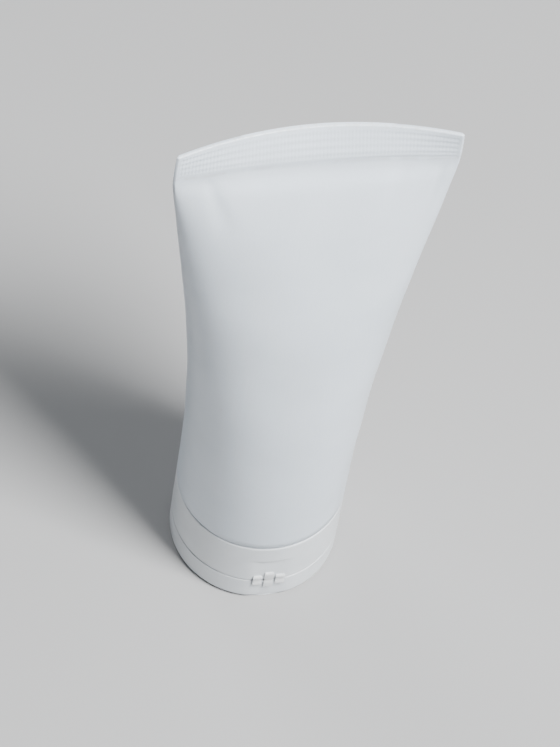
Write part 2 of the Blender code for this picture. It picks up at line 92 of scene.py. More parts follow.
WHITE_GLOW = (1.0, 0.95, 0.9)


class Body(Enum):
    """The rigid bodies that pieces ride on."""

    CAP = "cap"
    LID = "lid"
    GASKET = "gasket"
    TUBE = "tube"


class Slot(Enum):
    """The record's material slots."""

    SLEEVE = "sleeve_film"
    HEAD = "head_moulding"
    CAP = "cap_moulding"
    HINGE = "hinge_moulding"
    GASKET = "gasket_foam"
    CREAM = "cream"


class Face(Enum):
    """The sleeve's two broad faces, by the sign of Y."""

    FRONT = -1.0
    BACK = 1.0


# ---------------------------------------------------------------------------------------- shader maths


def operator(operation: str, reflected: bool = False) -> Callable[["Value", "Value | float"], "Value"]:
    """Makes an operator of Value.

    Args:
        operation: what its Math node does.
        reflected: whether the other operand comes first.

    Returns:
        The method.
    """

    def apply(self: "Value", other: "Value | float") -> "Value":
        """Adds the Math node."""
        return self.tree.maths(operation, *((other, self) if reflected else (self, other)))

    return apply


class Value:
    """A socket that carries a number, with arithmetic that adds Math nodes."""

    def __init__(self, tree: "Tree", socket: bpy.types.NodeSocket) -> None:
        """Wraps an output socket of a tree."""
        self.tree = tree
        self.socket = socket

    __add__, __radd__ = operator("ADD"), operator("ADD", True)
    __sub__, __rsub__ = operator("SUBTRACT"), operator("SUBTRACT", True)
    __mul__, __rmul__ = operator("MULTIPLY"), operator("MULTIPLY", True)
    __truediv__, __rtruediv__ = operator("DIVIDE"), operator("DIVIDE", True)

    def __abs__(self) -> "Value":
        """abs(self)"""
        return self.tree.maths("ABSOLUTE", self)

    def step(self, low: float, high: float) -> "Value":
        """A smooth step from 0 at the low value to 1 at the high one."""
        held = self.tree.maths("ADD", (self - low) / (high - low), 0.0, clamp=True)
        return held * held * (3.0 - 2.0 * held)

    def bell(self, centre: float, width: float) -> "Value":
        """A bell curve that is 1 at its centre and about a third at its width from there."""
        offset = (self - centre) / width
        return self.tree.maths("EXPONENT", -1.0 * (offset * offset))


class Tree:
    """A material's nodes, with the few ways that this file adds to them."""

    def __init__(self, name: str) -> None:
        """Makes a material with a Principled shader.

        Args:
            name: the material's name.
        """
        self.material = bpy.data.materials.new(name)
        self.material.use_nodes = True
        metres = self.node("TexCoord", {}, {}).outputs["Object"]
        self.place = self.node("VectorMath", {"operation": "SCALE"}, {0: metres, "Scale": 1 / MM}).outputs[0]

    def feed(self, socket: bpy.types.NodeSocket, value: object) -> None:
        """Gives an input socket a link or a constant.

        Args:
            socket: the input.
            value: a Value, an output socket, a number, or a colour or vector.
        """
        if isinstance(value, Value):
            value = value.socket
        if isinstance(value, bpy.types.NodeSocket):
            self.material.node_tree.links.new(value, socket)
        else:
            socket.default_value = (*value, 1.0) if socket.type == "RGBA" else value

    def node(self, kind: str, settings: dict[str, object], sockets: Sockets) -> bpy.types.Node:
        """Adds a node.

        Args:
            kind: the node's type, without its ShaderNode prefix.
            settings: the node's properties, which are set before its sockets.
            sockets: what each socket gets, by its name or number.

        Returns:
            The node.
        """
        made = self.material.node_tree.nodes.new("ShaderNode" + kind)
        for name, setting in settings.items():
            setattr(made, name, setting)
        for key, value in sockets.items():
            self.feed(made.inputs[key], value)
        return made

    def maths(self, operation: str, *values: Value | float, clamp: bool = False) -> Value:
        """The result of a Math node, held from 0 to 1 if clamped."""
        settings = {"operation": operation, "use_clamp": clamp}
        return Value(self, self.node("Math", settings, dict(enumerate(values))).outputs[0])

    def axes(self) -> tuple[Value, Value, Value]:
        """The point's X, Y and Z."""
        split = self.node("SeparateXYZ", {}, {0: self.place})
        return tuple(Value(self, output) for output in split.outputs)

    def noise(
        self, size: float, detail: float = 2.0, roughness: float = 0.5, scale: Corner = (1.0, 1.0, 1.0)
    ) -> Value:
        """Cloudy noise from 0 to 1.

        Args:
            size: how far apart its lumps are.
            detail: how many finer layers it has.
            roughness: how strong those are.
            scale: how closely the lumps follow each other along each axis.

        Returns:
            The noise.
        """
        place = self.node("Mapping", {"vector_type": "POINT"}, {"Vector": self.place, "Scale": scale})
        sockets = {"Vector": place.outputs[0], "Scale": 1 / size, "Detail": detail, "Roughness": roughness}
        return Value(self, self.node("TexNoise", {}, sockets).outputs[0])

    def cells(self, size: float) -> Value:
        """The distance to the middle of the nearest cell of a foam, from 0 to about 1."""
        made = self.node("TexVoronoi", {"feature": "F1"}, {"Vector": self.place, "Scale": 1 / size})
        return Value(self, made.outputs["Distance"])

    def mix(self, share: Value | float, low: object, high: object) -> bpy.types.NodeSocket:
        """A mix of two colours, with a share of the second."""
        return self.node("Mix", {"data_type": "RGBA"}, {0: share, 6: low, 7: high}).outputs[2]

    def bump(self, height: Value, strength: float, distance: float) -> bpy.types.NodeSocket:
        """A normal bent by a height, whose full size is the distance."""
        sockets = {"Height": height, "Strength": strength, "Distance": distance * MM}
        return self.node("Bump", {}, sockets).outputs["Normal"]

    def finish(self, **inputs: object) -> bpy.types.Material:
        """Gives the Principled shader its inputs.

        Args:
            inputs: what each socket gets, by its name with _ for a space.

        Returns:
            The material.
        """
        shader = self.material.node_tree.nodes["Principled BSDF"]
        for name, value in inputs.items():
            self.feed(shader.inputs[name.replace("_", " ")], value)
        return self.material


# --------------------------------------------------------------------------------------------- finishes


@dataclass(frozen=True)
class SleeveFilm:
    """Extruded cool-white polyethylene with a soft varnish, handled and slightly scuffed, with shade painted
    into the groove under the seal.
    """

    seal_foot: float
    seal_top: float
    half_width: float
    light: Colour = (0.722, 0.80, 0.885)
    dark: Colour = (0.672, 0.75, 0.832)
    scuff: Colour = (0.60, 0.61, 0.60)
    groove_shade: Colour = (0.50, 0.53, 0.56)
    roughness: float = 0.30

    def make(self) -> bpy.types.Material:
        """The material."""
        tree = Tree("sleeve_white_film")
        x, _, z = tree.axes()
        cloud = tree.noise(24, 3.0)
        peel = tree.noise(0.55)
        drawn = tree.noise(0.9, scale=(1.0, 1.0, 0.03))
        scratch = tree.noise(1.4, 4.0, 0.7, (1.0, 1.0, 0.16)).step(0.64, 0.74)
        smudge = tree.noise(7, 4.0, 0.6).step(0.48, 0.60)
        # Rubbed places: the seal's two ends and its cut edge, and hair scratches all over.
        ends = abs(x).step(self.half_width - 5, self.half_width)
        high = z.step(self.seal_foot - 6, self.seal_top)
        edge = z.step(self.seal_top - 0.9, self.seal_top - 0.1)
        rub = ends * high * tree.noise(1.7, 4.0, 0.65).step(0.50, 0.66)
        rub = tree.maths("MAXIMUM", rub, edge * tree.noise(1.1, 3.0).step(0.46, 0.62))
        rub = tree.maths("MAXIMUM", rub, scratch * 0.45)
        # Painted shade with dust: a patchy darker band along the groove under the seal's foot.
        dust_and_shade = z.bell(self.seal_foot - 0.1, 0.55) * tree.noise(3.5, 3.0).step(0.30, 0.62)
        colour = tree.mix(cloud.step(0.32, 0.68), self.dark, self.light)
        colour = tree.mix(rub * 0.30, colour, self.scuff)
        colour = tree.mix(dust_and_shade * 0.38, colour, self.groove_shade)
        return tree.finish(
            Base_Color=colour,
            Roughness=self.roughness + cloud * 0.08 + smudge * 0.10 + rub * 0.22 + scratch * 0.10,
            Normal=tree.bump(peel * 0.5 + drawn * 0.5 + scratch * -0.4, 0.55, 0.07),
            IOR=1.51,
            Subsurface_Weight=0.07,
            Subsurface_Radius=WHITE_GLOW,
            Subsurface_Scale=0.8 * MM,
            Coat_Weight=0.22,
            Coat_Roughness=0.16,
        )


@dataclass(frozen=True)
class Moulding:
    """Injection-moulded white plastic, with the faint grain of its mould."""

    name: str
    light: Colour = (0.755, 0.795, 0.83)
    dark: Colour = (0.705, 0.745, 0.78)
    scratched: Colour = (0.62, 0.63, 0.63)
    dusty_shade: Colour = (0.47, 0.48, 0.48)
    roughness: float = 0.27
    coat: float = 0.12
    parting: float | None = None

    def make(self) -> bpy.types.Material:
        """The material."""
        tree = Tree(self.name)
        cloud = tree.noise(9, 3.0)
        grain = tree.noise(0.42, 3.0, 0.6)
        flow = tree.noise(2.6, scale=(1.0, 1.0, 0.22))
        hairs = tree.noise(1.1, 4.0, 0.7, (0.25, 0.25, 1.3)).step(0.65, 0.74)
        colour = tree.mix(cloud.step(0.30, 0.70), self.dark, self.light)
        colour = tree.mix(hairs * 0.16, colour, self.scratched)
        if self.parting is not None:
            # Dust and painted shade gather along the line where the lid meets the cap.
            dust_and_shade = tree.axes()[2].bell(self.parting, 0.35) * tree.noise(2.4, 3.0).step(0.34, 0.62)
            colour = tree.mix(dust_and_shade * 0.35, colour, self.dusty_shade)
        return tree.finish(
            Base_Color=colour,
            Roughness=self.roughness + cloud * 0.07 + grain * 0.06 + hairs * 0.15,
            Normal=tree.bump(grain * 0.8 + flow * 0.3 + hairs * -0.3, 0.4, 0.035),
            IOR=1.49,
            Subsurface_Weight=0.12,
            Subsurface_Radius=WHITE_GLOW,
            Subsurface_Scale=1.0 * MM,
            Coat_Weight=self.coat,
            Coat_Roughness=0.12,
        )


@dataclass(frozen=True)
class FlexedHinge:
    """Thin moulded plastic, whitened where it bends."""

    axis_height: float
    bend: float = 0.55
    colour: Colour = (0.72, 0.74, 0.755)
    whitened: Colour = (0.90, 0.91, 0.92)

    def make(self) -> bpy.types.Material:
        """The material."""
        tree = Tree("hinge_flexed_plastic")
        streaks = tree.noise(0.5, 3.0, scale=(1.0, 1.0, 0.2))
        white = tree.axes()[2].bell(self.axis_height, self.bend) * (0.6 + 0.4 * streaks)
        return tree.finish(
            Base_Color=tree.mix(white, self.colour, self.whitened),
            Roughness=0.34 + white * 0.22 + streaks * 0.06,
            Normal=tree.bump(streaks, 0.4, 0.03),
            IOR=1.49,
            Subsurface_Weight=0.2,
            Subsurface_Radius=WHITE_GLOW,
            Subsurface_Scale=0.6 * MM,
        )


@dataclass(frozen=True)
class GasketFoam:
    """Closed-cell polyethylene foam with its skin cut through, and shade painted into its cells' pits."""

    light: Colour = (0.74, 0.75, 0.73)
    dark: Colour = (0.56, 0.57, 0.56)
    stained: Colour = (0.83, 0.84, 0.81)

    def make(self) -> bpy.types.Material:
        """The material."""
        tree = Tree("gasket_white_foam")
        stain = tree.noise(3, 3.0)
        wall = tree.cells(0.32).step(0.25, 0.62)
        # The cells' pits, which the bump sinks, are painted darker: painted shade in the hollows.
        colour = tree.mix(wall, self.dark, self.light)
        return tree.finish(
            Base_Color=tree.mix(stain.step(0.52, 0.7) * 0.25, colour, self.stained),
            Roughness=0.74 + wall * 0.16,
            Normal=tree.bump(wall * 0.9 + stain * 0.1, 0.8, 0.10),
            IOR=1.45,
        )


@dataclass(frozen=True)
class CreamFinish:
    """Thick shaving cream: dense, satin, with fine air bubbles and soft folds."""

    light: Colour = (0.90, 0.91, 0.885)
    dark: Colour = (0.83, 0.84, 0.81)

    def make(self) -> bpy.types.Material:
        """The material."""
        tree = Tree("cream_thick_white")
        folds = tree.noise(2.4, 4.0, 0.55)
        bubbles = tree.cells(0.7).step(0.02, 0.22)
        return tree.finish(
            Base_Color=tree.mix(folds.step(0.3, 0.7), self.dark, self.light),
            Roughness=0.36 + folds * 0.2 + (1.0 - bubbles) * 0.1,
            Normal=tree.bump(folds * 0.7 + bubbles * 0.3, 0.5, 0.25),
            IOR=1.38,
            Subsurface_Weight=0.35,
            Subsurface_Radius=(1.0, 0.95, 0.88),
            Subsurface_Scale=2.0 * MM,
        )


@dataclass(frozen=True)
class FloorFinish:
    """A plain pale sweep."""

    light: Colour = (0.40, 0.402, 0.406)
    dark: Colour = (0.394, 0.39597, 0.39991)

    def make(self) -> bpy.types.Material:
        """The material."""
        tree = Tree("floor_pale")
        cloud = tree.noise(250)
        colour = tree.mix(cloud, self.dark, self.light)
        return tree.finish(Base_Color=colour, Roughness=0.62 + cloud * 0.05, IOR=1.4)


Finish = SleeveFilm | Moulding | FlexedHinge | GasketFoam | CreamFinish


# ------------------------------------------------------------------------------------------- mesh tools


def box_of(node: str) -> tuple[Vector, Vector]:
    """A CAD node's lowest and highest corners."""
    low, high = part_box(node)
    return low / MM, high / MM


def smooth(value: np.ndarray | float, low: float, high: float) -> np.ndarray:
    """A smooth step from 0 at the low value to 1 at the high one."""
    held = np.clip((np.asarray(value, float) - low) / (high - low), 0.0, 1.0)
    return held * held * (3 - 2 * held)


def soft_min(first: np.ndarray, second: np.ndarray, radius: float) -> np.ndarray:
    """The lower of two surfaces, with the edge between them rounded as far as the radius."""
    return (first + second - np.sqrt((first - second) ** 2 + radius**2)) / 2


def filleted(corners: Sequence[Corner], count: int = 4) -> list[Point2]:
    """Rounds the corners of a closed outline.

    Args:
        corners: (radius, height, fillet) of each corner.
        count: how many steps a fillet has.

    Returns:
        The outline's points.
    """
    points: list[Point2] = []
    for index, (r, z, fillet) in enumerate(corners):
        here = Vector((r, z))
        before = Vector(corners[index - 1][:2]) - here
        after = Vector(corners[(index + 1) % len(corners)][:2]) - here
        if fillet <= 0:
            points.append((r, z))
            continue
        room = 0.48 * min(before.length, after.length)
        before.normalize()
        after.normalize()
        half = before.angle(after) / 2
        reach = min(fillet / math.tan(half), room)
        centre = here + (before + after).normalized() * (reach / math.cos(half))
        start = here + before * reach - centre
        turn = start.angle_signed(here + after * reach - centre)
        for step in range(count + 1):
            arm = start.copy()
            arm.rotate(Matrix.Rotation(-turn * step / count, 2))
            points.append(tuple(centre + arm))
    return points


def divided(points: Sequence[Point2], longest: float, where: Callable[[Point2], bool]) -> list[Point2]:
    """Adds points along some of an outline's sides.

    Args:
        points: the closed outline.
        longest: the longest side that is left where points are added.
        where: says of a side's middle whether the side is divided.

    Returns:
        The outline with its added points.
    """
    made: list[Point2] = []
    for first, second in zip(points, [*points[1:], points[0]]):
        middle = ((first[0] + second[0]) / 2, (first[1] + second[1]) / 2)
        parts = math.ceil(math.dist(first, second) / longest) if where(middle) else 1
        made.append(first)
        for step in range(1, parts):
            made.append(tuple(a + (b - a) * step / parts for a, b in zip(first, second)))
    return made


def mesh_from(points: np.ndarray, faces: Faces, merged: bool = False) -> bpy.types.Mesh:
    """A mesh with its faces turned outwards.

    Args:
        points: its vertices, in any arrangement that ends in X, Y and Z.
        faces: each face's vertices.
        merged: whether points in one place become one, and faces that this flattens go.

    Returns:
        The mesh.
    """
    mesh = bpy.data.meshes.new("mesh")
    mesh.from_pydata((points.reshape(-1, 3) * MM).tolist(), [], faces)
    mesh.validate()
    shape = bmesh.new()
    shape.from_mesh(mesh)
    if merged:
        bmesh.ops.remove_doubles(shape, verts=shape.verts, dist=1e-7)
        flat = [face for face in shape.faces if face.calc_area() < 1e-14]
        bmesh.ops.delete(shape, geom=flat, context="FACES")
    bmesh.ops.recalc_face_normals(shape, faces=shape.faces)
    shape.to_mesh(mesh)
    shape.free()
    return mesh


def grid_faces(rows: int, columns: int, first: int = 0, ring: bool = True) -> Faces:
    """The quads of a grid whose rows are closed rings.

    Args:
        rows: how many rows the grid has.
        columns: how many points a row has.
        first: the number of its first vertex.
        ring: whether the last row joins the first.

    Returns:
        The faces.
    """
    faces = []
    for row in range(rows if ring else rows - 1):
        low = first + row * columns
        high = first + (row + 1) % rows * columns
        for k in range(columns):
            n = (k + 1) % columns
            faces.append((low + k, low + n, high + n, high + k))
    return faces


def strip_faces(row: Sequence[int]) -> Faces:
    """Faces straight across a ring, from one broad side to the other.

    Args:
        row: the ring's vertices, starting at one of its narrow ends.

    Returns:
        The faces.
    """
    half = len(row) // 2
    middle = [(row[k], row[k + 1], row[-k - 1], row[-k]) for k in range(1, half - 1)]
    return [(row[0], row[1], row[-1]), *middle, (row[half - 1], row[half], row[half + 1])]


def lofted(rows: Sequence[Sequence[Corner]]) -> bpy.types.Mesh:
    """A solid bar, closed at both ends.

    Args:
        rows: its sections from end to end, with as many points in each.

    Returns:
        The mesh.
    """
    size, last = len(rows[0]), (len(rows) - 1) * len(rows[0])
    ends = [tuple(range(size)), tuple(range(last, last + size))]
    return mesh_from(np.array(rows), grid_faces(len(rows), size, ring=False) + ends)


def turned_mesh(outline: Sequence[Point2], steps: int, warp: Warp | None = None) -> bpy.types.Mesh:
    """A solid of revolution about Z.

    Args:
        outline: a closed outline of (radius, height). Points on the axis become one vertex.
        steps: how many steps the turn has.
        warp: moves the points, given them and their radii.

    Returns:
        The mesh.
    """
    angles = np.arange(steps) * math.tau / steps
    circle = np.stack([np.cos(angles), np.sin(angles)], axis=1)
    points = np.array([[(r * c, r * s, z) for c, s in circle] for r, z in outline])
    if warp is not None:
        points = warp(points, np.repeat(np.array(outline)[:, :1], steps, axis=1))
    return mesh_from(points, grid_faces(len(outline), steps), merged=True)


@dataclass(frozen=True)
class Helix:
    """A right-handed screw ridge that rises from nothing and runs out to nothing."""

    root: float
    crest: float
    pitch: float
    rise: float
    start: float
    root_width: float
    crest_width: float = 0.7
    least_width: float = 0.1
    sink: float = 0.3
    taper: float = math.radians(50)
    steps: int = 144

    def mesh(self) -> bpy.types.Mesh:
        """The ridge as a closed solid."""
        whole = math.tau * self.rise / self.pitch
        count = round(self.steps * whole / math.tau)
        sunk = self.root + math.copysign(self.sink, self.root - self.crest)
        rows = []
        for k in range(count + 1):
            angle = whole * k / count
            grown = smooth(min(angle, whole - angle), -0.02, self.taper)
            crest = self.root + (self.crest - self.root) * grown
            crest_half = (self.crest_width * grown + self.least_width) / 2
            root_half = self.root_width / 2 * (0.35 + 0.65 * grown)
            half = [(sunk, root_half), (self.root, root_half), (crest, crest_half)]
            section = [(r, -up) for r, up in half] + half[::-1]
            z = self.start + self.rise * k / count
            rows.append([(r * math.cos(angle), r * math.sin(angle), z + up) for r, up in section])
        return lofted(rows)


def shown(name: str, data: bpy.types.ID) -> bpy.types.Object:
    """Puts a mesh, a light or a camera in the scene.

    Args:
        name: the object's name.
        data: what it shows.

    Returns:
        The object.
    """
    item = bpy.data.objects.new(name, data)
    bpy.context.scene.collection.objects.link(item)
    return item


def united(base: bpy.types.Mesh, others: Sequence[bpy.types.Mesh]) -> bpy.types.Mesh:
    """Joins solids into one by Boolean union.

    Args:
        base: the solid that the others join.
        others: the solids to add.

    Returns:
        The joined mesh.
    """
    holder = shown("holder", base)
    helpers = [shown("helper", other) for other in others]
    for helper in helpers:
        union = holder.modifiers.new("union", "BOOLEAN")
        union.operation = "UNION"
        union.object = helper
    joined = bpy.data.meshes.new_from_object(holder.evaluated_get(bpy.context.evaluated_depsgraph_get()))
    for item in [holder, *helpers]:
        bpy.data.objects.remove(item)
    return joined


def block(low: Corner, high: Corner, turn: float) -> bpy.types.Mesh:
    """A box with lightly rounded edges.

    Args:
        low: its lowest corner.
        high: its highest corner.
        turn: how far it is then turned about Z, in radians.

    Returns:
        The mesh.
    """
    shape = bmesh.new()
    bmesh.ops.create_cube(shape, size=1.0)
    for vert in shape.verts:
        vert.co = Vector((a + (b - a) * (c + 0.5)) * MM for a, b, c in zip(low, high, vert.co))
    edge = 0.12 * MM * min(b - a for a, b in zip(low, high))
    bmesh.ops.bevel(shape, geom=shape.edges[:], offset=edge, segments=2, profile=0.5, affect="EDGES")
    bmesh.ops.rotate(shape, verts=shape.verts, matrix=Matrix.Rotation(turn, 3, "Z"))
    mesh = bpy.data.meshes.new("block")
    shape.to_mesh(mesh)
    shape.free()
    return mesh


def add_piece(
    name: str,
    mesh: bpy.types.Mesh,
    finish: Finish,
    node: str,
    body: Body | None = None,
    sharp: float = 38.0,
) -> bpy.types.Object:
    """Shows a mesh in the place of a CAD node.

    Args:
        name: the piece's name.
        mesh: its mesh.
        finish: what it is finished in.
        node: the node that it stands for.
        body: what it rides on, or None for a piece that rides on no body.
        sharp: the angle in degrees above which an edge stays crisp.

    Returns:
        The piece.
    """
    mesh.materials.clear()
    mesh.materials.append(finish.make())
    mesh.shade_smooth()
    mesh.set_sharp_from_angle(angle=math.radians(sharp))
    piece = shown(name, mesh)
    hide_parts(node)
    if body is not None:
        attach(piece, body.value)
    LOG.info("%s: %d faces", name, len(mesh.polygons))
    return piece


# --------------------------------------------------------------------------------------------- the tube


@dataclass(frozen=True)
class Dent:
    """A shallow hollow that a thumb or a finger left in one face, some way down from the seal."""

    face: Face
    x: float
    down: float
    wide: float
    tall: float
    depth: float

    def depths(self, x: np.ndarray, down: np.ndarray) -> np.ndarray:
        """How deep it is at each point."""
        return self.depth * np.exp(-(((x - self.x) / self.wide) ** 2) - ((down - self.down) / self.tall) ** 2)


@dataclass(frozen=True)
class Crease:
    """A soft fold in one face, from near a corner of the seal: each end is X and the way down."""

    face: Face
    top: Point2
    foot: Point2
    width: float
    depth: float

    def depths(self, x: np.ndarray, down: np.ndarray) -> np.ndarray:
        """How deep it is at each point.

        Args:
            x: the points' X.
            down: how far they are under the seal.

        Returns:
            The depths.
        """
        start = np.array(self.top)
        run = np.array(self.foot) - start
        along = ((x - start[0]) * run[0] + (down - start[1]) * run[1]) / (run @ run)
        held = np.clip(along, 0.0, 1.0)
        away = np.hypot(x - start[0] - held * run[0], down - start[1] - held * run[1])
        fade = smooth(along, -0.12, 0.12) * (1 - smooth(along, 0.45, 1.0))
        return self.depth * fade * np.exp(-((away / (self.width * (0.6 + held))) ** 2))


@dataclass
class Sleeve:
    """The sleeve: round at the head, pressed flat and welded at its end."""

    wall: float = 0.5
    seal_height: float = 8.0
    seal_bow: float = 5.5
    foot_bow: float = 0.8
    bow_run: float = 22.0
    bow_ease: float = 0.9
    hollow: float = 0.75
    hollow_drop: float = 2.3
    hollow_run: float = 2.0
    round_length: float = 6.0
    ease_length: float = 80.0
    seal_ease_length: float = 4.0
    cavity_end: float = 0.2
    columns: int = 640
    edge: float = 0.16
    serration_pitch: float = 0.775
    serration_depth: float = 0.018
    serration_end_depth: float = 0.045
    rib_pitch: float = 1.55
    rib_depth: float = 0.075
    rib_margin: float = 0.9
    groove_depth: float = 0.34
    groove_width: float = 1.5
    score_depth: float = 0.10
    score_width: float = 0.38
    wave_depth: float = 0.07
    neck_run: float = 14.0
    fine_run: float = 2.5
    outer_rings: tuple[int, int, int] = (54, 18, 46)
    inner_rings: int = 22
    marks: tuple[Dent | Crease, ...] = (
        Dent(Face.FRONT, 5, 30, 8, 9, 0.22),
        Dent(Face.FRONT, -6, 66, 11, 16, 0.50),
        Dent(Face.BACK, 5, 58, 11, 13, 0.60),
        Dent(Face.BACK, -11, 26, 8, 9, 0.28),
        Crease(Face.FRONT, (27.5, 2), (17, 52), 1.7, 0.30),
        Crease(Face.FRONT, (20, 0), (13, 17), 2.2, 0.22),
        Crease(Face.FRONT, (-24, 0), (-17, 21), 1.9, 0.30),
        Crease(Face.BACK, (23, 0), (15, 24), 2.2, 0.34),
        Crease(Face.BACK, (-22, 0), (-13, 20), 2.0, 0.30),
        Crease(Face.BACK, (4, 0), (1, 12), 2.6, 0.16),
    )

    def __post_init__(self) -> None:
        """Reads the sleeve's place from the frame."""
        low, high = box_of("tube_sleeve")
        self.foot = low.z
        self.top = high.z
        self.radius = (high.y - low.y) / 2
        self.half_width = (high.x - low.x) / 2
        self.seal_foot = self.top - self.seal_height
        self.round_end = self.foot + self.round_length
        self.round_radius = self.radius - self.wall / 2
        self.flattening = self.seal_foot - self.round_end - (self.ease_length + self.seal_ease_length) / 2
        self.girth_power = math.log(2) / math.log(math.pi / 2)
        self.flat_width = float(self.other_half_axis(self.wall / 2))

    def flatness(self, z: np.ndarray) -> np.ndarray:
        """How far the width has gone from round to flat.

        Args:
            z: the heights.

        Returns:
            From 0 where the sleeve is round to 1 where it is flat.
        """
        up = np.clip(z - self.round_end, 0.0, self.seal_foot - self.round_end)
        down = self.seal_foot - self.round_end - up
        low = up**2 / (2 * self.ease_length) / self.flattening
        high = 1 - down**2 / (2 * self.seal_ease_length) / self.flattening
        even = (up - self.ease_length / 2) / self.flattening
        return np.where(up < self.ease_length, low, np.where(down < self.seal_ease_length, high, even))

    def other_half_axis(self, half_axis: np.ndarray | float) -> np.ndarray:
        """The other half-axis, to the middle of the wall, of an oval with the sleeve's girth."""
        left = 2 * self.round_radius**self.girth_power - np.power(half_axis, self.girth_power)
        return np.maximum(left, 0.0) ** (1 / self.girth_power)

    def oval(self, z: np.ndarray) -> tuple[np.ndarray, np.ndarray]:
        """The half-width and half-depth, to the middle of the wall, at each height."""
        width = self.round_radius + (self.flat_width - self.round_radius) * self.flatness(z)
        return width, self.other_half_axis(width)

    def cavity_top(self) -> float:
        """The height where each side of the cavity comes close to its middle."""
        narrowing = self.flat_width - float(self.other_half_axis(self.wall / 2 + self.cavity_end))
        share = narrowing / (self.flat_width - self.round_radius)
        return self.seal_foot - math.sqrt(2 * self.seal_ease_length * self.flattening * share)

    def lean(self, z: np.ndarray) -> np.ndarray:
        """How far the middle of the sleeve leans back.

        Args:
            z: the heights.

        Returns:
            The distances along Y.
        """
        under = np.clip(1 - (self.seal_foot - z) / self.bow_run, 0.0, 1.0)
        above = z - self.seal_foot
        ramp = (np.sqrt(above**2 + self.bow_ease**2) + above) / 2
        slope = (self.seal_bow - self.foot_bow) / self.seal_height
        # The film is drawn in just under the jaws, where the bowed weld meets the swelling face.
        drawn_in = self.hollow * np.exp(-(((above + self.hollow_drop) / self.hollow_run) ** 2))
        return self.foot_bow * under**2 + slope * ramp + drawn_in

    def emboss(self, x: np.ndarray, z: np.ndarray) -> np.ndarray:
        """How far the sealing jaws left each point standing out.

        Args:
            x: the points' X.
            z: the points' heights.

        Returns:
            The distances, along the surface's normal.
        """
        up = z - self.seal_foot
        band = smooth(up, 0.9, 1.6) * smooth(self.seal_height - up, 0.5, 1.0)
        inner = smooth(self.half_width - np.abs(x), 0.6, 1.6)
        ribs = np.cos(math.tau * (up - self.rib_margin) / self.rib_pitch)
        ribs *= 0.7 + 0.3 * np.sin(x * 0.19 + up * 0.5) * np.sin(x * 0.083 + 1.1)
        teeth = np.cos(math.tau * x / self.serration_pitch)
        worn = smooth(-x, self.half_width - 13, self.half_width - 6)
        tooth = self.serration_depth + (self.serration_end_depth - self.serration_depth) * worn
        out = band * inner * (self.rib_depth * ribs + tooth * teeth)
        # The jaws' lower edge leaves a soft hollow, deepest in the middle, with a fine score along it.
        reach = smooth(self.half_width * 0.88 - np.abs(x - 1), 0.0, 14)
        out -= self.groove_depth * (0.12 + 0.88 * reach) * np.exp(-((up / self.groove_width) ** 2))
        score = self.score_depth * (0.3 + 0.7 * smooth(x, -6, 16))
        return out - score * inner * np.exp(-(((up - 0.4) / self.score_width) ** 2))

    def form(self, x: np.ndarray, z: np.ndarray, side: np.ndarray) -> np.ndarray:
        """How far handling has pushed the wall out at each point.

        Args:
            x: the points' X.
            z: the points' heights.
            side: the sign of Y of the face that each is on.

        Returns:
            The distances, along the surface's normal.
        """
        down = self.seal_foot - z
        out = np.zeros_like(x)
        for mark in self.marks:
            out -= np.where(side == mark.face.value, mark.depths(x, down), 0.0)
        # The film is never quite smooth: long shallow waves, a little different on each face.
        phase = np.where(side > 0, 1.3, 0.0)
        waves = np.sin(x * 0.21 + z * 0.095 + phase) * np.sin(z * 0.13 - x * 0.06 + 2 * phase)
        waves += 0.6 * np.sin(x * 0.34 - z * 0.21 + 0.7 + phase)
        rise = smooth(z, self.foot + 8, self.foot + 30) * smooth(down, 1, 12)
        return (out + self.wave_depth * waves * rise) * smooth(down, 0.6, 4)

    def rings(self, z: np.ndarray, offset: np.ndarray, embossed: bool) -> np.ndarray:
        """Rings of points round the sleeve.

        Args:
            z: the rings' heights.
            offset: how far out from the middle of the wall each ring is.
            embossed: whether the points show the sealing jaws' marks.

        Returns:
            The points, one ring a row.
        """
        share = np.arange(self.columns) / self.columns
        half = np.minimum(share, 1 - share)[None, :]
        side = np.where(share < 0.5, 1.0, -1.0)[None, :] * np.ones((len(z), 1))
        level = z[:, None] * np.ones((1, self.columns))
        flat = self.flatness(z)[:, None]
        angle = (1 - flat) * math.tau * half + flat * np.arccos(np.clip(1 - 4 * half, -1.0, 1.0))
        cosine, sine = np.cos(angle), np.sin(angle)
        width, depth = (values[:, None] for values in self.oval(z))
        layer = flat * self.wall / 2
        bulge = np.maximum(depth - layer, 1e-6)
        across, along = bulge * cosine, width * sine
        slope = np.maximum(np.hypot(across, along), 1e-9)
        x = width * cosine
        # The wall is pushed in no further than its own curve allows.
        out = np.maximum(offset[:, None] + self.form(x, level, side), -(slope**3) / (width * bulge))
        if embossed:
            out = out + self.emboss(x, level)
        x = x + out * across / slope
        y = bulge * sine + np.where(half * (0.5 - half) > 1e-9, layer, 0.0) + out * along / slope
        return self.bowed(x, y * side, level)

    def bowed(self, x: np.ndarray, y: np.ndarray, z: np.ndarray) -> np.ndarray:
        """Bends sections back as the end seal is bent.

        Args:
            x: the points' X.
            y: the points' Y.
            z: the points' heights.

        Returns:
            The bent points.
        """
        lean = self.lean(z)
        reach = math.pi / 2 * self.radius
        return np.stack([x * (1 - (lean / (2 * reach)) ** 2), y + lean * (1 - (x / reach) ** 2), z], axis=-1)

    def outer_heights(self) -> np.ndarray:
        """The heights of the outer face's rings: coarse up the body, and fine in the seal."""
        neck_start, seal_start = self.seal_foot - self.neck_run, self.seal_foot - self.fine_run
        body = np.linspace(self.foot + self.edge, neck_start, self.outer_rings[0], endpoint=False)
        neck = np.linspace(neck_start, seal_start, self.outer_rings[1], endpoint=False)
        seal = np.linspace(seal_start, self.top - self.edge, self.outer_rings[2])
        return np.concatenate([[self.foot], body, neck, seal, [self.top]])

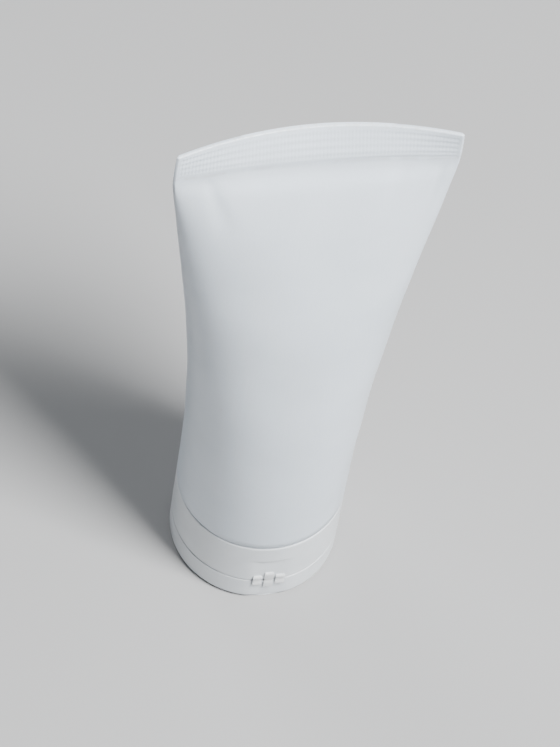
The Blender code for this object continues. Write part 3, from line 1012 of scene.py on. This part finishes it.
    def mesh(self) -> bpy.types.Mesh:
        """The sleeve as a closed shell."""
        columns = self.columns
        outer_z = self.outer_heights()
        offset = np.full(len(outer_z), self.wall / 2)
        offset[[0, -1]] -= self.edge
        outer = self.rings(outer_z, offset, True)
        depths = (self.cavity_top() - self.foot) * np.linspace(1, 0, self.inner_rings) ** 1.5
        inner_z = self.cavity_top() - depths
        inner = self.rings(inner_z, np.full(len(inner_z), -self.wall / 2), False)
        inner_first = len(outer_z) * columns
        faces = grid_faces(len(outer_z), columns, ring=False)
        faces += grid_faces(len(inner_z), columns, inner_first, ring=False)
        for k in range(columns):
            n = (k + 1) % columns
            faces.append((k, n, inner_first + n, inner_first + k))
        points = np.concatenate([outer, inner])
        for end in (inner_first, len(points) * columns):
            faces += strip_faces(range(end - columns, end))
        return mesh_from(points, faces)

    def build(self) -> None:
        """Builds the sleeve."""
        finish = SleeveFilm(self.seal_foot, self.top, self.half_width)
        add_piece("sleeve", self.mesh(), finish, "tube_sleeve", Body.TUBE, 60.0)


@dataclass
class Head:
    """The moulding that closes the sleeve: spigot, sloped shoulder and threaded neck."""

    spigot_wall: float = 1.2
    spigot_height: float = 4.0
    rise: float = 3.5
    thickness: float = 1.5
    neck_radius: float = 8.0
    neck_wall: float = 1.8
    pitch: float = 3.0
    thread_depth: float = 1.0
    lead_in: float = 0.8
    run_out: float = 0.4
    root_width: float = 1.4
    steps: int = 144

    def __post_init__(self) -> None:
        """Reads the head's place from the frame."""
        low, high = box_of("tube_shoulder")
        self.radius = (high.x - low.x) / 2
        self.end = low.z
        self.spigot_top = high.z
        self.rim = self.spigot_top - self.spigot_height
        self.root = self.rim - self.rise
        self.bore = self.neck_radius - self.neck_wall
        self.thread_start = self.end + self.lead_in + self.root_width / 2

    def underside(self, radius: float) -> float:
        """The height of the shoulder's outer face at a radius."""
        return self.root + self.rise * (radius - self.neck_radius) / (self.radius - self.neck_radius)

    def corners(self) -> list[Corner]:
        """The section's corners, with their fillets."""
        inner, neck = self.radius - self.spigot_wall, self.neck_radius
        return [
            (self.radius, self.spigot_top, 0.3),
            (self.radius, self.rim + 0.7, 0.0),
            (self.radius, self.rim, 0.35),
            (neck + 2.2, self.underside(neck + 2.2), 0.3),
            (neck + 1.1, self.underside(neck + 1.1) - 0.25, 0.2),
            (neck, self.root - 0.1, 0.4),
            (neck, self.end, 0.45),
            (neck - 0.75, self.end, 0.08),
            (neck - 0.9, self.end + 0.12, 0.05),
            (neck - 1.05, self.end, 0.08),
            (self.bore, self.end, 0.3),
            (self.bore, self.underside(self.bore) + self.thickness, 0.6),
            (inner, self.underside(inner) + self.thickness, 0.6),
            (inner, self.spigot_top, 0.3),
        ]

    def build(self) -> None:
        """Builds the head with its thread."""
        rise = self.root - self.end - self.lead_in - self.root_width - self.run_out
        crest = self.neck_radius + self.thread_depth
        ridge = Helix(self.neck_radius, crest, self.pitch, rise, self.thread_start, self.root_width)
        mesh = united(turned_mesh(filleted(self.corners()), self.steps), [ridge.mesh()])
        finish = Moulding("head_white_plastic", roughness=0.36, coat=0.0)
        add_piece("head", mesh, finish, "tube_shoulder", Body.TUBE)


@dataclass
class Cream:
    """The cream: it fills the neck and the sleeve, and has been pushed down into the spout."""

    gap: float = 0.3
    sleeve_gap: float = 0.9
    edge_gap: float = 2.0
    plug_room: float = 0.3
    spout_gap: float = 0.05
    gasket_bore: float = 3.6
    crown: float = 2.0
    columns: int = 160

    def section(self, sleeve: Sleeve, z: np.ndarray) -> np.ndarray:
        """Rings inside the sleeve.

        Args:
            sleeve: the sleeve that holds the cream.
            z: the rings' heights.

        Returns:
            The points, one ring a row.
        """
        width, depth = (values[:, None] for values in sleeve.oval(z))
        flat = sleeve.flatness(z)[:, None]
        angle = math.tau * np.arange(self.columns)[None, :] / self.columns
        wall = sleeve.wall / 2 + self.sleeve_gap
        x = (width - wall - (self.edge_gap - self.gap) * flat) * np.cos(angle)
        folds = 0.12 * np.sin(angle * 5 + z[:, None] * 0.26) * flat
        y = (depth - wall + folds * np.sin(angle) ** 2) * np.sin(angle)
        return sleeve.bowed(x, y, z[:, None] * np.ones_like(x))

    def build(self, sleeve: Sleeve, head: Head, orifice: float, tip: float) -> None:
        """Builds the cream.

        Args:
            sleeve: the sleeve round it.
            head: the head under it.
            orifice: the radius of the spout's hole.
            tip: the height of the lid's plug in that hole.
        """
        low, high = box_of("shaving_cream")
        gasket_low, gasket_high = box_of("neck_gasket")
        thin = orifice - self.spout_gap
        neck = head.bore - self.gap
        inner = head.radius - head.spigot_wall - self.gap
        cone = head.thickness + self.gap
        foot = tip + self.plug_room
        profile = [
            (0.25 * thin, foot + 0.30),
            (0.6 * thin, foot + 0.16),
            (0.9 * thin, foot),
            (thin, foot + 0.25),
            (thin, gasket_low.z - 0.3),
            (self.gasket_bore, gasket_low.z + 0.2),
            (self.gasket_bore, gasket_high.z),
            (neck, low.z),
            (neck, head.underside(neck) + cone),
            (inner, head.underside(inner) + cone),
            (inner, head.spigot_top),
        ]
        angles = math.tau * np.arange(self.columns) / self.columns
        rows = [np.stack([r * np.cos(angles), r * np.sin(angles), 0 * angles + z], 1) for r, z in profile]
        body_top = high.z - self.crown
        rows += list(self.section(sleeve, np.linspace(head.spigot_top + 1.5, body_top, 44)))
        last, middle = rows[-1], rows[-1].mean(axis=0)
        for share, lift in ((0.93, 0.9), (0.80, 1.5), (0.55, 1.9)):
            ring = middle + (last - middle) * np.array([0.5 + share / 2, share, 1.0])
            ring[:, 2] = body_top + lift
            rows.append(ring)
        faces = grid_faces(len(rows), self.columns, ring=False)
        for end in (self.columns, len(rows) * self.columns):
            faces += strip_faces(range(end - self.columns, end))
        mesh = mesh_from(np.array(rows), faces)
        add_piece("cream", mesh, CreamFinish(), "shaving_cream", Body.TUBE, 60.0)


@dataclass
class Gasket:
    """The foam ring under the end of the neck, pressed a little thinner where the neck's rim lies."""

    print_radius: float = 7.0
    print_width: float = 0.9
    print_depth: float = 0.10
    round_edge: float = 0.22
    steps: int = 144

    def build(self) -> None:
        """Builds the gasket."""
        low, high = box_of("neck_gasket")
        outer, hole = (high.x - low.x) / 2, (high.x - low.x) / 4
        section = [(outer, high.z), (outer, low.z), (hole, low.z), (hole, high.z)]
        corners = [(r, z, self.round_edge) for r, z in section]
        outline = divided(filleted(corners), 0.25, lambda p: p[1] > high.z - 0.01)

        def pressed(points: np.ndarray, radii: np.ndarray) -> np.ndarray:
            """Presses the neck's print into the upper face.

            Args:
                points: the gasket's points.
                radii: the radius that each was turned at.

            Returns:
                The moved points.
            """
            near = np.exp(-(((radii - self.print_radius) / self.print_width) ** 2))
            points[..., 2] -= self.print_depth * near * smooth(points[..., 2], low.z, high.z)
            return points

        mesh = turned_mesh(outline, self.steps, pressed)
        add_piece("gasket", mesh, GasketFoam(), "neck_gasket", Body.GASKET)


# ---------------------------------------------------------------------------------------------- the cap


@dataclass
class HingeFlat:
    """The flat on the hinge side, which the cap and the lid share."""

    depth: float = 0.5
    edge: float = 0.22
    fade: Point2 = (3.0, 1.6)

    def press(self, y: np.ndarray, layer: np.ndarray, radius: float, ease: np.ndarray | float) -> np.ndarray:
        """Presses the flat into a wall.

        Args:
            y: the wall's Y.
            layer: how deep in the wall each point is.
            radius: the wall's outer radius.
            ease: how far each point of the flat runs out again towards the round wall.

        Returns:
            The moved Y.
        """
        pressed = -soft_min(-y, radius - self.depth + ease - layer, self.edge)
        near = smooth(-y, radius - self.fade[0], radius - self.fade[1])
        return np.where((layer < self.depth) & (y < 0), y + (pressed - y) * near, y)


@dataclass
class Cap:
    """The cap: outer skirt with a thumb scoop, deck, spout, threaded inner skirt and ribs."""

    wall: float = 1.4
    deck: float = 1.4
    deck_recess: float = 0.6
    rim_depth: float = 1.3
    rim_wall: float = 1.1
    rim_bead: float = 0.14
    snap_gap: float = 0.3
    orifice: float = 2.5
    spout_wall: float = 1.5
    spout_flare: float = 0.7
    spout_tip: float = 3.4
    inner_wall: float = 1.3
    thread_gap: float = 0.3
    skirt_gap: float = 0.8
    rib_count: int = 8
    rib_thickness: float = 0.9
    rib_height: float = 4.0
    scoop_radius: float = 10.0
    scoop_depth: float = 1.8
    scoop_rise: float = 2.5
    scoop_wall: float = 1.2
    scoop_edge: float = 0.35
    flat_top: float = 17.5
    flat_fade: float = 0.7
    flat_ease: float = 0.9
    lid_gap: float = 0.3
    steps: int = 256

    def __post_init__(self) -> None:
        """Reads the cap's place from the frame."""
        low, high = box_of("cap_base")
        self.radius = (high.x - low.x) / 2
        self.top = high.z
        self.foot = box_of("cap_lid")[1].z + self.lid_gap
        self.deck_foot = self.foot + self.deck_recess
        self.deck_top = self.deck_foot + self.deck

    def scooped(self, points: np.ndarray, radii: np.ndarray) -> np.ndarray:
        """Presses the thumb scoop into the skirt, and the flat for the hinge.

        Args:
            points: the skirt's points.
            radii: the radius that each was turned at.

        Returns:
            The moved points.
        """
        x, y, z = points[..., 0], points[..., 1], points[..., 2]
        layer = self.radius - radii
        centre_y = self.radius + self.scoop_radius - self.scoop_depth
        over = self.scoop_radius**2 - x**2 - (z - self.foot - self.scoop_rise) ** 2
        ball = centre_y - np.sqrt(np.maximum(over, 0.0)) - layer * self.scoop_wall / self.wall
        bitten = soft_min(y, ball, self.scoop_edge)
        # The scoop's rounding fades well inside the ball, so that the rest of the skirt stays true.
        share = smooth(over, 0.10 * self.scoop_radius**2, 0.35 * self.scoop_radius**2)
        # The skirt's wall and the outer face of the snap rim, one gap further in, move together.
        skirt = (layer < self.wall + self.snap_gap + 0.01) & (y > 0) & (over > 0)
        ease = self.flat_ease * smooth(z, self.flat_top - self.flat_fade, self.flat_top)
        flat = HingeFlat().press(y, layer, self.radius, ease)
        points[..., 1] = np.where(skirt, y + (bitten - y) * share, flat)
        return points

    def corners(self, head: Head, bore: float) -> list[Corner]:
        """The section's corners, with their fillets.

        Args:
            head: the head, whose neck the inner skirt fits.
            bore: the inner skirt's inner radius.

        Returns:
            The corners, from the skirt's upper rim round the outside.
        """
        rim = self.radius - self.wall - self.snap_gap
        rim_foot = self.foot - self.rim_depth
        rim_in = rim - self.rim_wall
        tip = self.orifice + self.spout_wall
        skirt_top = head.root - self.skirt_gap
        inner = self.radius - self.wall
        return [
            (self.radius, self.top, 0.45),
            (self.radius, self.foot, 0.28),
            (rim, self.foot, 0.12),
            (rim, rim_foot + 0.75, 0.0),
            (rim + self.rim_bead, rim_foot + 0.5, 0.1),
            (rim - 0.05, rim_foot, 0.2),
            (rim_in, rim_foot, 0.25),
            (rim_in, self.deck_foot, 0.3),
            (tip + self.spout_flare + 1.1, self.deck_foot, 0.5),
            (tip + self.spout_flare * 0.7, self.deck_foot - 1.2, 0.6),
            (tip, self.spout_tip + 0.5, 0.2),
            (tip - 0.1, self.spout_tip, 0.35),
            (self.orifice, self.spout_tip, 0.3),
            (self.orifice, self.deck_top, 0.2),
            (bore, self.deck_top, 0.2),
            (bore, skirt_top, 0.25),
            (bore + self.inner_wall, skirt_top, 0.25),
            (bore + self.inner_wall, self.deck_top, 0.3),
            (inner, self.deck_top, 0.3),
            (inner, self.top, 0.2),
        ]

    def build(self, head: Head) -> None:
        """Builds the cap with its thread and ribs.

        Args:
            head: the head that it screws onto.
        """
        wall_start = self.radius - self.wall - 0.2
        bore = head.neck_radius + head.thread_depth + self.thread_gap
        outline = divided(filleted(self.corners(head, bore)), 0.4, lambda p: p[0] > wall_start)
        start = head.thread_start + head.pitch / 2
        rise = head.root - self.skirt_gap - head.root_width / 2 - 0.3 - start
        parts = [Helix(bore, bore - head.thread_depth, head.pitch, rise, start, head.root_width).mesh()]
        low = (bore + self.inner_wall / 2, -self.rib_thickness / 2, self.deck_top - self.deck / 2)
        high = (self.radius - self.wall / 2, self.rib_thickness / 2, self.deck_top + self.rib_height)
        for k in range(self.rib_count):
            parts.append(block(low, high, math.tau * (k + 0.5) / self.rib_count))
        mesh = united(turned_mesh(outline, self.steps, self.scooped), parts)
        finish = Moulding("cap_white_plastic", parting=self.foot)
        add_piece("cap", mesh, finish, "cap_base", Body.CAP)


@dataclass
class Lid:
    """The lid: a shallow cup with a plug and a ring inside, and a rimmed face to stand on."""

    wall: float = 1.4
    plate: float = 1.4
    edge_radius: float = 1.5
    foot_ring: float = 2.6
    foot_recess: float = 0.30
    gate: float = 1.1
    plug_gap: float = 0.3
    plug_wall: float = 0.75
    plug_top: float = 5.0
    plug_bead: float = 0.16
    ring_radius: float = 5.4
    ring_wall: float = 0.8
    ring_height: float = 2.6
    lip: float = 0.55
    lip_height: float = 1.7
    lip_half_width: Point2 = (3.2, 5.2)
    steps: int = 256

    def __post_init__(self) -> None:
        """Reads the lid's place from the frame."""
        low, high = box_of("cap_lid")
        self.radius = (high.x - low.x) / 2
        self.foot = low.z
        self.top = high.z

    def shaped(self, points: np.ndarray, radii: np.ndarray) -> np.ndarray:
        """Presses the flat for the hinge and pulls out the thumb lip.

        Args:
            points: the lid's points.
            radii: the radius that each was turned at.

        Returns:
            The moved points.
        """
        x, y, z = points[..., 0], points[..., 1], points[..., 2]
        layer = self.radius - radii
        y = HingeFlat().press(y, layer, self.radius, 0.0)
        wide = 1 - smooth(np.abs(x), *self.lip_half_width)
        high = smooth(z, self.top - self.lip_height, self.top - 0.45 * self.lip_height)
        outside = 1 - smooth(layer, 0.0, 0.5)
        points[..., 1] = np.where(y > 0, y + self.lip * wide * high * outside, y)
        return points

    def corners(self, plug: float) -> list[Corner]:
        """The section's corners, with their fillets.

        Args:
            plug: the plug's radius.

        Returns:
            The corners, from the axis at the plug's hollow round to the axis at the standing face.
        """
        floor = self.foot + self.plate
        hollow, side = plug - self.plug_wall, plug - 0.05
        ring_out = self.ring_radius + self.ring_wall
        inner = self.radius - self.wall
        recess, recessed = self.radius - self.foot_ring - self.edge_radius, self.foot + self.foot_recess
        return [
            (0.0, floor + 0.4, 0.0),
            (hollow, floor + 0.4, 0.35),
            (hollow, self.plug_top - 0.1, 0.15),
            (plug - 0.3, self.plug_top, 0.2),
            (side, self.plug_top - 0.55, 0.1),
            (side + self.plug_bead / 2, self.plug_top - 0.95, 0.15),
            (side, self.plug_top - 1.4, 0.1),
            (plug, floor, 0.3),
            (self.ring_radius, floor, 0.25),
            (self.ring_radius, floor + self.ring_height, 0.2),
            (ring_out, floor + self.ring_height, 0.2),
            (ring_out, floor, 0.25),
            (inner, floor, 0.8),
            (inner, self.top - 1.5, 0.0),
            (inner - 0.1, self.top - 1.15, 0.08),
            (inner, self.top - 0.8, 0.0),
            (inner, self.top, 0.3),
            (self.radius, self.top, 0.28),
            (self.radius, self.foot, self.edge_radius),
            (recess + 0.35, self.foot, 0.25),
            (recess, recessed, 0.25),
            (self.gate, recessed, 0.0),
            (self.gate - 0.2, recessed + 0.2, 0.08),
            (0.35, recessed + 0.2, 0.05),
            (0.25, recessed + 0.08, 0.04),
            (0.0, recessed + 0.08, 0.0),
        ]

    def build(self, orifice: float) -> None:
        """Builds the lid.

        Args:
            orifice: the radius of the hole that the plug shuts.
        """
        corners = self.corners(orifice - self.plug_gap)
        outline = divided(filleted(corners, 5), 0.4, lambda p: p[0] > self.radius - 0.05)
        mesh = turned_mesh(outline, self.steps, self.shaped)
        finish = Moulding("lid_white_plastic", parting=self.top)
        add_piece("lid", mesh, finish, "cap_lid", Body.LID)


@dataclass
class LivingHinge:
    """The two films and the strap that join the lid to the cap, and bend between them."""

    pad: float = 0.14
    swell: float = 0.12
    waist: float = 0.62
    bend: float = 0.75
    rows: int = 28
    columns: int = 7

    def mesh(self, node: str, axis: Vector) -> bpy.types.Mesh:
        """A strip that is thick at its ends and thin at the bend.

        Args:
            node: the CAD node that gives its size.
            axis: a point on the hinge's axis.

        Returns:
            The mesh.
        """
        low, high = box_of(node)
        half_length, half = (high.z - low.z) / 2, (high.y - low.y) / 2
        turns = np.linspace(math.pi, 0, self.columns)
        rows = []
        for k in range(self.rows + 1):
            offset = half_length * (2 * k / self.rows - 1)
            thick = smooth(abs(offset), 0.25 * self.bend, 1.6 * self.bend)
            front = axis.y - half * (self.waist + (1 - self.waist) * thick) - self.swell * thick
            back = axis.y + half * self.waist + (half * (1 - self.waist) + self.pad) * thick
            end = smooth(half_length - abs(offset), -0.02, 0.35)
            front += (1 - end) * 0.5 * (back - front)
            across = (high.x - low.x) / 2 * (0.93 + 0.07 * thick) * (0.9 + 0.1 * end)
            xs = (high.x + low.x) / 2 + across * np.cos(turns)
            upper = [(x, front + r, axis.z + offset) for x, r in zip(xs, 0.05 * (1 - np.sin(turns)))]
            lower = [(x, front + back - y, z) for x, y, z in upper[::-1]]
            rows.append(upper + lower)
        return lofted(rows)

    def build(self) -> None:
        """Builds the three strips across the lid's joint."""
        joint = next(j for j in frame["joints"] if j["name"] == "lid_flip")
        axis = Vector(joint["pos_m"])
        for node in ("hinge_film_left", "hinge_strap", "hinge_film_right"):
            name, finish = node.replace("hinge_", "bending_"), FlexedHinge(axis.z / MM)
            piece = add_piece(name, self.mesh(node, axis / MM), finish, node)
            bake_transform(piece)


# -------------------------------------------------------------------------------------------- the studio


@dataclass(frozen=True)
class Softbox:
    """A square area light."""

    name: str
    place: Corner
    size: float
    power: float
    colour: Colour

    def hang(self, aim: Vector) -> None:
        """Hangs it, facing the point that it is aimed at.

        Args:
            aim: the point.
        """
        lamp = bpy.data.lights.new(self.name, "AREA")
        lamp.shape = "SQUARE"
        lamp.size = self.size
        lamp.energy = self.power
        lamp.color = self.colour
        item = shown(self.name, lamp)
        item.location = self.place
        item.rotation_mode = "QUATERNION"
        item.rotation_quaternion = (aim - Vector(self.place)).to_track_quat("-Z", "Y")


@dataclass
class Studio:
    """A pale sweep, soft lights, and a camera that looks down on the tube from its front left."""

    azimuth: float = math.radians(-18)
    elevation: float = math.radians(58)
    roll: float = math.radians(10.4)
    distance: float = 1.10
    view_height: float = 0.170
    look_share: float = 0.43
    sensor: float = 36.0
    floor_radius: float = 3.2
    cove_radius: float = 0.9
    cove_steps: int = 12
    floor_steps: int = 96
    wall_height: float = 1.5
    light_aim: float = 0.08
    air_colour: Colour = (0.93, 0.96, 1.0)
    air_strength: float = 0.20
    softboxes: tuple[Softbox, ...] = (
        Softbox("key", (0.34, -0.36, 0.98), 0.30, 30.0, (1.0, 0.995, 0.985)),
        Softbox("side", (0.62, -0.55, 0.25), 0.45, 3.0, (0.95, 0.975, 1.0)),
        Softbox("back", (-0.30, 0.60, 0.70), 0.35, 3.0, (0.95, 0.975, 1.0)),
    )

    def floor(self) -> None:
        """Builds the sweep: a round floor whose rim curves up into a low wall."""
        flat = self.floor_radius - self.cove_radius
        profile = [(0.97 * flat, 0.0), (flat, 0.0)]
        for k in range(1, self.cove_steps + 1):
            angle = math.pi / 2 * k / self.cove_steps
            rise = self.cove_radius * (1 - math.cos(angle))
            profile.append((flat + self.cove_radius * math.sin(angle), rise))
        profile.append((self.floor_radius, self.wall_height))
        turns = [math.tau * k / self.floor_steps for k in range(self.floor_steps)]
        points = [(r * math.cos(turn), r * math.sin(turn), z) for r, z in profile for turn in turns]
        faces = [tuple(range(self.floor_steps))]
        faces += [face[::-1] for face in grid_faces(len(profile), self.floor_steps, ring=False)]
        mesh = bpy.data.meshes.new("sweep")
        mesh.from_pydata(points, [], faces)
        mesh.materials.append(FloorFinish().make())
        mesh.shade_smooth()
        shown("sweep", mesh)

    def lights(self) -> None:
        """Hangs the softboxes, each aimed at the tube's middle, and sets the surrounding light."""
        for softbox in self.softboxes:
            softbox.hang(Vector((0.0, 0.0, self.light_aim)))
        world = bpy.data.worlds.new("studio")
        world.use_nodes = True
        backdrop = world.node_tree.nodes["Background"]
        backdrop.inputs["Color"].default_value = (*self.air_colour, 1.0)
        backdrop.inputs["Strength"].default_value = self.air_strength
        bpy.context.scene.world = world

    def camera(self) -> None:
        """Sets up the camera."""
        low, high = CAD_BOX
        level = Vector((math.sin(self.azimuth), -math.cos(self.azimuth), 0.0)) * math.cos(self.elevation)
        back = level + Vector((0.0, 0.0, math.sin(self.elevation)))
        data = bpy.data.cameras.new("camera")
        data.sensor_fit = "AUTO"
        data.sensor_width = self.sensor
        data.lens = self.sensor * self.distance / self.view_height
        data.clip_start, data.clip_end = 0.05, 20.0
        view = shown("camera", data)
        aim = Vector((0.0, 0.0, low.z + (high.z - low.z) * self.look_share))
        view.location = aim + back * self.distance
        view.rotation_mode = "QUATERNION"
        turn = Quaternion((0, 0, 1), self.roll)
        view.rotation_quaternion = (-back).to_track_quat("-Z", "Y") @ turn
        bpy.context.scene.camera = view

    def build(self) -> None:
        """Builds the whole studio."""
        self.floor()
        self.lights()
        self.camera()


def main() -> None:
    """Builds each sub-assembly in order, then the studio."""
    logging.basicConfig(level=logging.INFO, format="%(name)s: %(message)s")
    sleeve, head, cap, lid = Sleeve(), Head(), Cap(), Lid()
    sleeve.build()
    head.build()
    Gasket().build()
    cap.build(head)
    lid.build(cap.orifice)
    LivingHinge().build()
    Cream().build(sleeve, head, cap.orifice, lid.plug_top)
    Studio().build()


if __name__ == "__main__":
    main()
